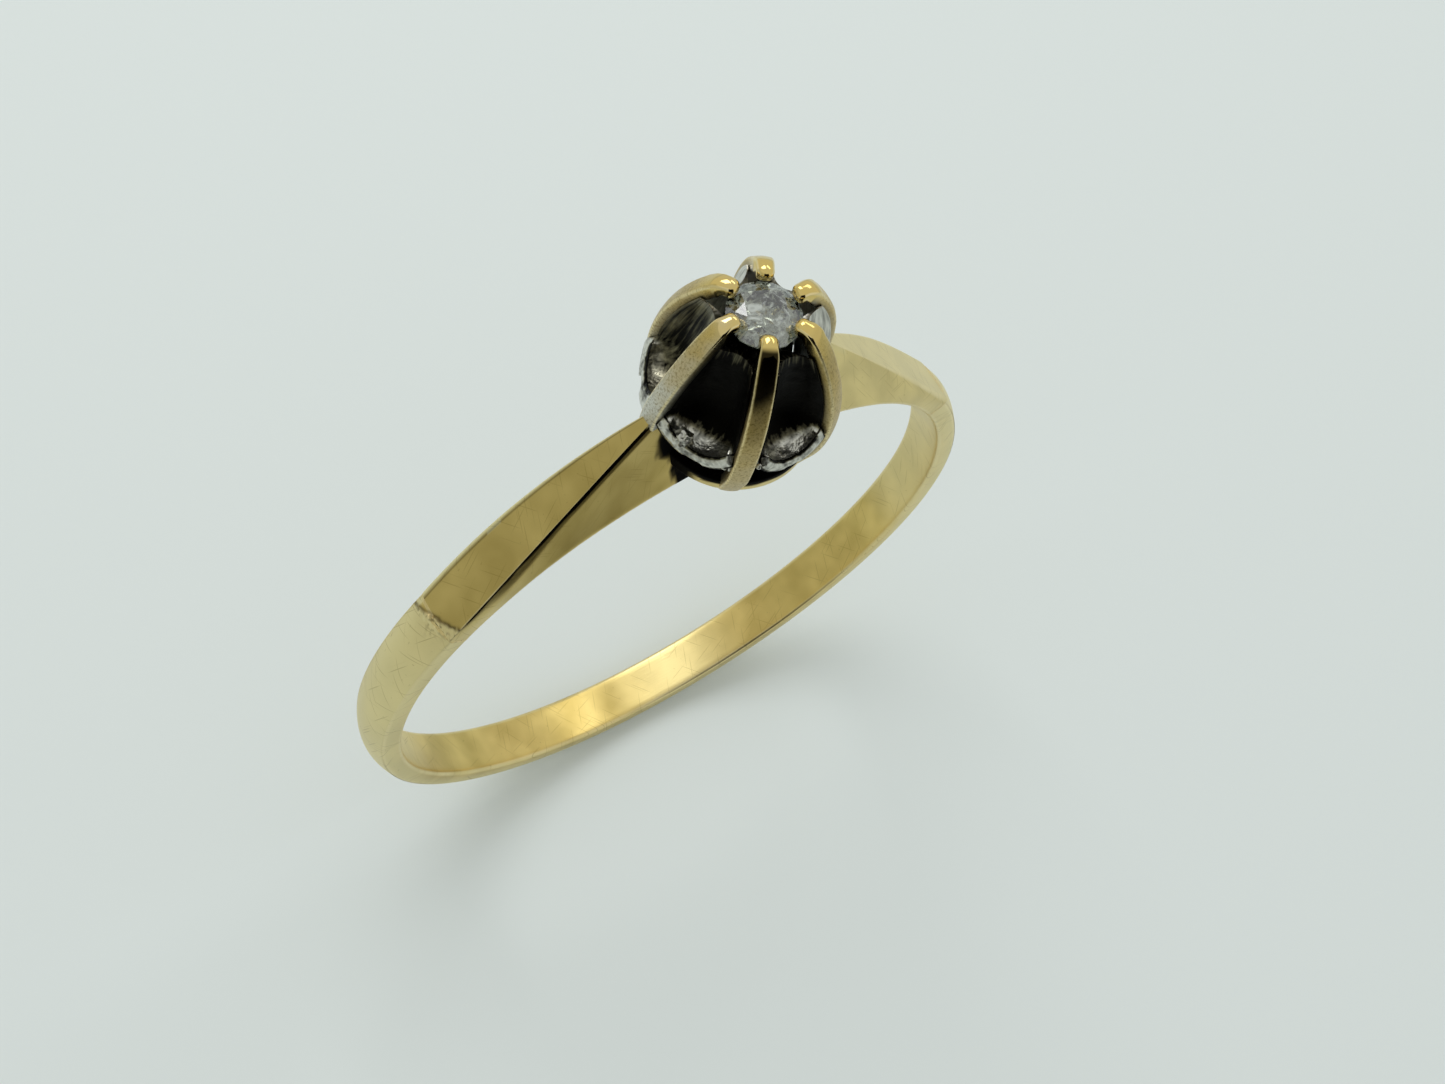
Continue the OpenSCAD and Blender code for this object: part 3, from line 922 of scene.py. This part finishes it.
# The dark on the base ring, partly residue and partly painted shade inside the head: heights over which it
# starts, depths behind the outside over which it starts, and the sines of the angles between which it also
# covers the outside, beside the shoulders
BASE_STEPS = 120
DARK_ABOVE = (0.2 * MM, 0.26 * MM)
DARK_BEHIND = (-0.09 * MM, -0.04 * MM)
SOILED_BESIDE = (0.45, 0.6)


class RING_OT_base_ring(bpy.types.Operator):
    """Adds the ring under the head that the claws are soldered to"""

    bl_idname = "ring.base_ring"
    bl_label = "Base ring"

    def execute(self, context):
        head = context.scene.ring_head
        low, high = HEAD_Z, HEAD_Z + head.base_h
        inner, outer = head.base_r - head.base_wall, head.base_r
        cut = head.base_round
        face = [(outer, low + head.base_h * k / 8, 0) for k in range(2, 7)]
        corners = [(inner, low, cut), (outer, low, cut), *face, (outer, high, cut), (inner, high, cut)]
        outline = soften(corners)
        grid = Grid()
        for i in range(BASE_STEPS):
            turn = 2 * math.pi * i / BASE_STEPS
            grid.start_row()
            for r, z, edge in outline:
                point = Vector((r * math.cos(turn), r * math.sin(turn), z))
                ragged = 0.05 * MM * wave(point, 0.3 * MM, seed=4)
                grid.add(
                    point * (1 + 0.004 * wave(point, 0.8 * MM, seed=6)),
                    surface=(turn * outer / MM, (r + z) / MM, 0),
                    edge=0.6 * edge,
                    satin=0.35,
                    # Darkened top and inner wall, partly residue and partly painted shade, and residue beside
                    # the shoulders
                    grime=max(
                        ease(z + ragged - low, *DARK_ABOVE),
                        1 - ease(r - outer, *DARK_BEHIND),
                        1 - ease(abs(math.sin(turn)), *SOILED_BESIDE),
                    ),
                )
        mesh = loft("soldered_base_ring", grid, joined=True)
        add_piece(context, mesh, worn_yellow_gold(context.scene.ring_colours), "yellow_gold", "base_ring")
        return {"FINISHED"}


# Rows of points along a claw's stem, its hook and its rounded tip
STEM, HOOK, TIP = 56, 22, 9
# How much narrower a claw gets, how round its section gets, and the angle to which its tip is rounded
CLAW_TAPER, CLAW_ROUNDED = 0.1, 0.9
TIP_ROUND = math.radians(84)
# Height over the base up to which a claw's foot draws in
TUCK_H = 1.1 * MM
# Shares of the head's height over which a claw's lean ends, and over which the front claw's painted dark
# reflection turns black
LEAN_RUN = (0.05, 0.95)
DARK_RUN = (0.8, 0.92)
# Height and size of the waves that hammering and filing left in a claw's shaft and in its tip
SHAFT_WAVE, TIP_WAVE = 0.008 * MM, 0.016 * MM
SHAFT_WAVE_SIZE, TIP_WAVE_SIZE = 0.5 * MM, 0.2 * MM
# Length of a row of a claw, and of a row of a petal, in millimetres
CLAW_ROW, PETAL_ROW = 0.085, 0.06


def claw_outline(head):
    """Section of a claw as (y, depth, edge), from the middle of its outer face and round."""
    half_w, half_t, cut = head.claw_w / 2, head.claw_t / 2, head.claw_round
    corners = [(half_w * k / 3, half_t, 0) for k in (0, 1, 2)]
    corners += [(half_w, half_t, cut), (half_w, -half_t, cut)]
    corners += [(half_w * k / 2, -half_t, 0) for k in (1, 0, -1)]
    corners += [(-half_w, -half_t, cut), (-half_w, half_t, cut)]
    corners += [(-half_w * k / 3, half_t, 0) for k in (2, 1)]
    return soften(corners)


def claw_point(head, i, y, depth):
    """Reach and height of a point in row i of a claw, and its offset across the claw."""
    half_t = head.claw_t / 2
    bow_mid = Vector((head.head_r - head.bow_r, HEAD_Z + head.bulge_h))
    along = min(1, i / STEM)
    across = y * (1 - CLAW_TAPER * along)
    if i <= STEM:
        bow = head.bow_r - half_t + depth
        foot = math.asin((0.01 * MM - head.bulge_h) / bow)
        turn = foot + (head.hook_from - foot) * along
        flat = bow_mid + bow * Vector((math.cos(turn), math.sin(turn)))
        flat.x -= head.foot_tuck * (1 - ease(flat.y, HEAD_Z, HEAD_Z + TUCK_H))
        return flat, across
    aim = Vector((math.cos(head.hook_from), math.sin(head.hook_from)))
    hook_mid = bow_mid + (head.bow_r - head.hook_r) * aim
    turn = head.hook_from + (head.hook_to - head.hook_from) * min(1, (i - STEM) / HOOK)
    out = Vector((math.cos(turn), math.sin(turn)))
    ahead = Vector((-out.y, out.x))
    cap = max(0, (i - STEM - HOOK) / TIP) * TIP_ROUND
    flat = hook_mid + (head.hook_r - half_t) * out
    flat += depth * math.cos(cap) * out + half_t * math.sin(cap) * ahead
    return flat, across * math.cos(cap) ** 0.8


def claw_grid(head, degrees, lean, flare, frosted, blackness):
    """A claw: its bow from the base, its hook over the stone and its rounded tip."""
    turn = Matrix.Rotation(math.radians(degrees), 3, "Z")
    half_w, half_t = head.claw_w / 2, head.claw_t / 2
    outline = claw_outline(head)
    grid = Grid()
    for i in range(STEM + HOOK + TIP + 1):
        rounding = CLAW_ROUNDED * ease(i, STEM - 6, STEM + HOOK)
        dull = 1 - ease(i, STEM - 10, STEM + 4)
        grid.start_row()
        for y, d, edge in outline:
            oval = 1 - rounding + rounding / max(0.3, math.hypot(y / half_w, d / half_t))
            domed = d - (head.claw_crown * (y / half_w) ** 2 if d > 0 else 0)
            flat, across = claw_point(head, i, y * oval, domed * oval)
            rise = (flat.y - HEAD_Z) / head.girdle_h
            bent = (1 - ease(rise, *LEAN_RUN)) * MM
            point = turn @ Vector((flat.x + flare * bent, across + lean * bent, flat.y))
            uneven = SHAFT_WAVE * wave(point, SHAFT_WAVE_SIZE, degrees)
            uneven += TIP_WAVE * (1 - dull) * wave(point, TIP_WAVE_SIZE, degrees)
            frost = frosted * (1.65 - 1.35 * rise + 0.3 * wave(point, 0.35 * MM, seed=8))
            # Painted dark reflection below the tip, strongest on the front claw
            dark = blackness * ease(rise - 0.04 * y / half_w, *DARK_RUN) * (1 - ease(i, STEM + 7, STEM + 14))
            # The inner face of the shaft, against the petals, is darkened
            inside = d < -0.5 * half_t and i < STEM + 6
            grid.add(
                point + uneven * Vector((1, 1, 0.5)),
                surface=(i * CLAW_ROW, (y + d) / MM, degrees),
                # Paler outer edges: rubbed wear and a painted highlight
                edge=edge * (0.75 + 0.25 * wave(point, 0.4 * MM, seed=3)) if d > 0 else 0.2 * edge,
                frost=max(0, min(1, frost)),
                dull=dull,
                grime=0.85 if inside else dark * (1 - 0.8 * edge),
            )
    return grid


class RING_OT_claws(bpy.types.Operator):
    """Adds the six claws that bow up from the base ring and hook over the stone"""

    bl_idname = "ring.claws"
    bl_label = "Claws"

    def execute(self, context):
        head = context.scene.ring_head
        material = claw_gold(context.scene.ring_colours)
        for node, habit in CLAWS.items():
            mesh = loft("hooked_" + node, claw_grid(head, *habit))
            add_piece(context, mesh, material, "claw_gold", node)
        return {"FINISHED"}


# Half the angle between two claws, and half the angle over which a flute is round before it runs straight out
HALF_GAP = math.radians(30)
HALF_ARCH = math.radians(62)
# Rows of points down a flute and round its bowl, and points across
FLUTE_STEPS, BOWL_STEPS, PETAL_ACROSS = 26, 34, 40
# Least thickness of a petal and its play beside a claw
PETAL_LEAST, PETAL_PLAY = 0.02 * MM, 0.005 * MM
# The rows that close a petal: its top as row, share across the wall and length ahead, and then the share and
# length of each row round its lip
TOP_ROW = (0, 0.5, 0.0)
LIP_ROWS = ((0.22, 0.045 * MM), (0.5, 0.06 * MM))
# Depth and size of the dimples in a petal's hollow
DIMPLE_H, DIMPLE = 0.014 * MM, 0.2 * MM
# Angles over which the flute turns into the bowl, and over which its sides are rubbed
UNDER = (math.radians(5), math.radians(70))
SIDES = (math.radians(45), math.radians(85))
# Share of the lip's swing from which the lip thickens, and those between which its black groove starts
LIP_THICKENS = 0.5
LIP_GROOVE = (0.97, 0.99)
# Share of a flute's rows, from its top, over which it is rubbed
RUBBED_ROWS = 0.35


def hollow_radius(head, reach):
    """Radius of the hollow that fits between two claws, with a petal's edges, at a reach from the axis."""
    return reach * math.sin(HALF_GAP) - head.claw_w / 2 - head.petal_edge_t


def petal_wall(head, i, turned, lip_t):
    """Point of a petal's hollow in row i, the same point of its outside, and the outward normal there.

    Also gives the swing under the bowl, and the direction in which the petal runs on."""
    bowl = Vector((head.bowl_x, 0, HEAD_Z + head.bowl_h))
    top = Vector((head.flute_x, 0, HEAD_Z + head.girdle_h))
    axis = (top - bowl).normalized()
    run = (top - bowl).length
    bowl_r = hollow_radius(head, head.bowl_x)
    narrowing = (bowl_r - hollow_radius(head, head.flute_x)) / run
    back = Vector((-axis.z, 0, axis.x))
    side = Vector((0, 1, 0))
    claw_face = Vector((-math.sin(HALF_GAP), math.cos(HALF_GAP), 0))
    along_claw = Vector((math.cos(HALF_GAP), math.sin(HALF_GAP), 0))
    phi = max(-HALF_ARCH, min(HALF_ARCH, turned))
    straight = max(0.0, (abs(turned) - HALF_ARCH) / (math.pi / 2 - HALF_ARCH))
    swing = 0.0
    if i <= FLUTE_STEPS:
        facing = math.cos(phi) * back + math.sin(phi) * side
        up = (run - head.petal_drop / axis.z) * (1 - i / FLUTE_STEPS)
        point = bowl + up * axis + (bowl_r - narrowing * up) * facing
        normal = (facing - narrowing * axis).normalized()
    else:
        swing = head.lip_swing * (i - FLUTE_STEPS) / BOWL_STEPS
        normal = math.cos(phi) * (math.cos(swing) * back - math.sin(swing) * axis) + math.sin(phi) * side
        point = bowl + bowl_r * normal
    mirror = Vector((1, math.copysign(1, phi), 1))
    if straight:
        reach = head_reach(head, point.z) - 0.6 * head.claw_t - math.hypot(point.x, point.y)
        point = point + straight * max(0.0, reach) * along_claw * mirror
        normal = claw_face * mirror
    inside = point * mirror
    gap = inside.x * math.sin(HALF_GAP) - inside.y * math.cos(HALF_GAP) - head.claw_w / 2
    towards = (normal * mirror).dot(claw_face)
    room = head.petal_t if towards < 0.05 else max(PETAL_LEAST, (gap - PETAL_PLAY) / towards)
    thickened = ease(swing, LIP_THICKENS * head.lip_swing, head.lip_swing)
    thick = head.petal_t + (lip_t * MM - head.petal_t) * thickened
    ahead = -math.cos(turned) * (math.sin(swing) * back + math.cos(swing) * axis)
    return point, point + min(thick, room) * normal, normal, swing, ahead


def petal_grid(head, degrees, blackness, bowl_blackness, widened, lip_t):
    """A petal in rows from its top to its lip, each across its hollow and back round its outside."""
    turn = Matrix.Rotation(math.radians(degrees), 3, "Z")
    bowl_r = hollow_radius(head, head.bowl_x)
    angles = [math.pi * (j / PETAL_ACROSS - 0.5) for j in range(PETAL_ACROSS + 1)]
    last = FLUTE_STEPS + BOWL_STEPS
    rows = [TOP_ROW, *((i, 0.0, 0.0) for i in range(last + 1)), *((last, *lip) for lip in LIP_ROWS)]
    grid = Grid()
    for i, closing, proud in rows:
        rubbed = 1 - ease(i, 0, RUBBED_ROWS * FLUTE_STEPS)
        grid.start_row()
        for outer in (False, True):
            for phi in reversed(angles) if outer else angles:
                hollow, outside, normal, swing, ahead = petal_wall(head, i, phi, lip_t)
                local = hollow.lerp(outside, 1 - closing if outer else closing) + proud * ahead
                local.y *= 1 + widened if local.y < 0 else 1
                point = turn @ local
                dimple = 0.0 if outer or closing else DIMPLE_H * wave(point, DIMPLE, degrees)
                under = ease(swing, *UNDER)
                groove = 1.2 * ease(swing / head.lip_swing, *LIP_GROOVE)
                # Oxide in the flute, made blacker on the front petals as a painted dark reflection
                flute = blackness * (1 - 0.2 * ease(abs(phi), *SIDES)) * (1 - 0.5 * rubbed)
                oxide = flute + (bowl_blackness - blackness) * under + groove
                # The outside of the two front petals is darkened as a painted dark reflection
                if outer:
                    oxide = max(0.0, 1.9 * blackness - 1.2)
                grid.add(
                    point + turn @ (dimple * normal),
                    surface=(phi * bowl_r / MM, (i - FLUTE_STEPS) * PETAL_ROW, degrees),
                    oxide=0.0 if closing and i else oxide,
                    bowl=under,
                )
    return grid


class RING_OT_petals(bpy.types.Operator):
    """Adds the six fluted petals with their frosted bowls between the claws"""

    bl_idname = "ring.petals"
    bl_label = "Petals"

    def execute(self, context):
        head = context.scene.ring_head
        material = frosted_white_gold(context.scene.ring_colours)
        for node, habit in PETALS.items():
            mesh = loft("fluted_" + node, petal_grid(head, *habit), ends=False)
            add_piece(context, mesh, material, "white_gold", node, crisp=40)
        return {"FINISHED"}


class RING_OT_solder_lumps(bpy.types.Operator):
    """Adds the lumps of white solder beside the front claw and in the left bowl"""

    bl_idname = "ring.solder_lumps"
    bl_label = "Solder lumps"

    def execute(self, context):
        uneven, knob = 0.45, 0.09 * MM
        lumps = bmesh.new()
        for degrees, reach, height, radius in LUMPS:
            turn = math.radians(degrees)
            middle = Vector((reach * math.cos(turn), reach * math.sin(turn), height)) * MM
            ball = bmesh.ops.create_icosphere(lumps, subdivisions=4, radius=radius * MM)["verts"]
            for vert in ball:
                vert.co *= 1 + uneven * wave(vert.co, knob, degrees)
                vert.co += middle + Vector((0, 0, HEAD_Z))
        mesh = bpy.data.meshes.new("white_solder_lumps")
        lumps.to_mesh(mesh)
        lumps.free()
        add_piece(context, mesh, frosted_white_gold(context.scene.ring_colours), "white_gold")
        return {"FINISHED"}


class RING_OT_stone(bpy.types.Operator):
    """Gives the stone and the collet behind the petals their finish"""

    bl_idname = "ring.stone"
    bl_label = "Stone and collet"

    def execute(self, context):
        colours = context.scene.ring_colours
        for node, finish in (("diamond", included_diamond), ("collet", blackened_white_gold)):
            materials = frame["nodes"][node].data.materials
            materials.clear()
            materials.append(finish(colours))
        return {"FINISHED"}


def add_floor(context):
    """A plain board under the ring that keeps its shadow."""
    corners = ((-1, -1), (1, -1), (1, 1), (-1, 1))
    mesh = bpy.data.meshes.new("floor")
    points = [(x * FLOOR_REACH, y * FLOOR_REACH, CAD_BOX[0].z) for x, y in corners]
    mesh.from_pydata(points, [], [(0, 1, 2, 3)])
    mesh.materials.append(matte_board(context.scene.ring_colours))
    put(context, mesh)


def add_cards(context):
    """The cards that the metal mirrors, each glowing as a painted reflection. They cast no shadow and stay
    out of the picture.
    """
    for name, (start, end, away, heights) in CARDS.items():
        grid = Grid()
        for z, light in heights:
            grid.start_row()
            for k in range(CARD_STEPS + 1):
                turn = math.radians(start + (end - start) * k / CARD_STEPS)
                grid.add(MM * Vector((away * math.cos(turn), away * math.sin(turn), z)), light=light)
        mesh = loft(name, grid, closed=False, ends=False)
        material, add, glow = start_material("matte_" + name, "light")
        tint = getattr(context.scene.ring_colours, name)
        # The card glows: a painted reflection
        paper = add("Emission", {"Color": tint, "Strength": glow})
        add("OutputMaterial", {"Surface": paper})
        mesh.materials.append(material)
        card = put(context, mesh)
        card.visible_camera = False
        card.visible_diffuse = False
        card.visible_shadow = False


def add_light(context):
    """The pale room and two soft area lights that face the ring."""
    stage = context.scene.ring_stage
    world = bpy.data.worlds.new("pale_room")
    add = start_tree(world)
    walls = {"Color": context.scene.ring_colours.room, "Strength": stage.room}
    add("OutputWorld", {"Surface": add("Background", walls)})
    context.scene.world = world
    for name, at, wide, deep, watts in (
        ("soft_key", stage.key_at, stage.key_size, stage.key_size, stage.key_power),
        ("soft_strip", stage.strip_at, stage.strip_size, stage.strip_deep, stage.strip_power),
    ):
        light = bpy.data.lights.new(name, "AREA")
        light.shape = "RECTANGLE"
        light.size = wide
        light.size_y = deep
        light.energy = watts
        lamp = put(context, light)
        lamp.location = at
        lamp.rotation_euler = Vector(at).to_track_quat("Z", "Y").to_euler()


def add_camera(context):
    """The camera, at the angle from which the ring is shown."""
    stage = context.scene.ring_stage
    data = bpy.data.cameras.new("photo_camera")
    data.lens = stage.camera_lens
    data.sensor_width = 36
    data.clip_start = MM
    data.clip_end = 10
    camera = put(context, data)
    camera.location = stage.camera_at
    look = Vector(stage.camera_aim) - Vector(stage.camera_at)
    camera.rotation_mode = "QUATERNION"
    camera.rotation_quaternion = look.to_track_quat("-Z", "Y") @ Quaternion((0, 0, 1), stage.camera_roll)
    context.scene.camera = camera


class RING_OT_stage(bpy.types.Operator):
    """Adds the pale floor, the two cards, the room with its two soft lights, and the camera"""

    bl_idname = "ring.stage"
    bl_label = "Studio"

    def execute(self, context):
        add_floor(context)
        add_cards(context)
        add_light(context)
        add_camera(context)
        context.scene.view_settings.view_transform = "Standard"
        return {"FINISHED"}


STEPS = (
    RING_OT_shank,
    RING_OT_solder_seams,
    RING_OT_shoulders,
    RING_OT_base_ring,
    RING_OT_claws,
    RING_OT_petals,
    RING_OT_solder_lumps,
    RING_OT_stone,
    RING_OT_stage,
)


class RING_PT_panel(bpy.types.Panel):
    """Lists the ring's pieces in the order they are built"""

    bl_idname = "RING_PT_panel"
    bl_label = "Worn Solitaire Ring"
    bl_space_type = "VIEW_3D"
    bl_region_type = "UI"
    bl_category = "Ring"

    def draw(self, context):
        for step in STEPS:
            self.layout.operator(step.bl_idname)


GROUPS = {"ring_band": RingBand, "ring_head": RingHead, "ring_colours": RingColours, "ring_stage": RingStage}


def register():
    for group in GROUPS.values():
        bpy.utils.register_class(group)
    for name, group in GROUPS.items():
        setattr(bpy.types.Scene, name, PointerProperty(type=group))
    for item in (*STEPS, RING_PT_panel):
        bpy.utils.register_class(item)


def unregister():
    for item in (RING_PT_panel, *reversed(STEPS)):
        bpy.utils.unregister_class(item)
    for name, group in GROUPS.items():
        delattr(bpy.types.Scene, name)
        bpy.utils.unregister_class(group)


def main():
    register()
    bpy.ops.ring.shank()
    bpy.ops.ring.solder_seams()
    bpy.ops.ring.shoulders()
    bpy.ops.ring.base_ring()
    bpy.ops.ring.claws()
    bpy.ops.ring.petals()
    bpy.ops.ring.solder_lumps()
    bpy.ops.ring.stone()
    bpy.ops.ring.stage()


if __name__ == "__main__":
    main()
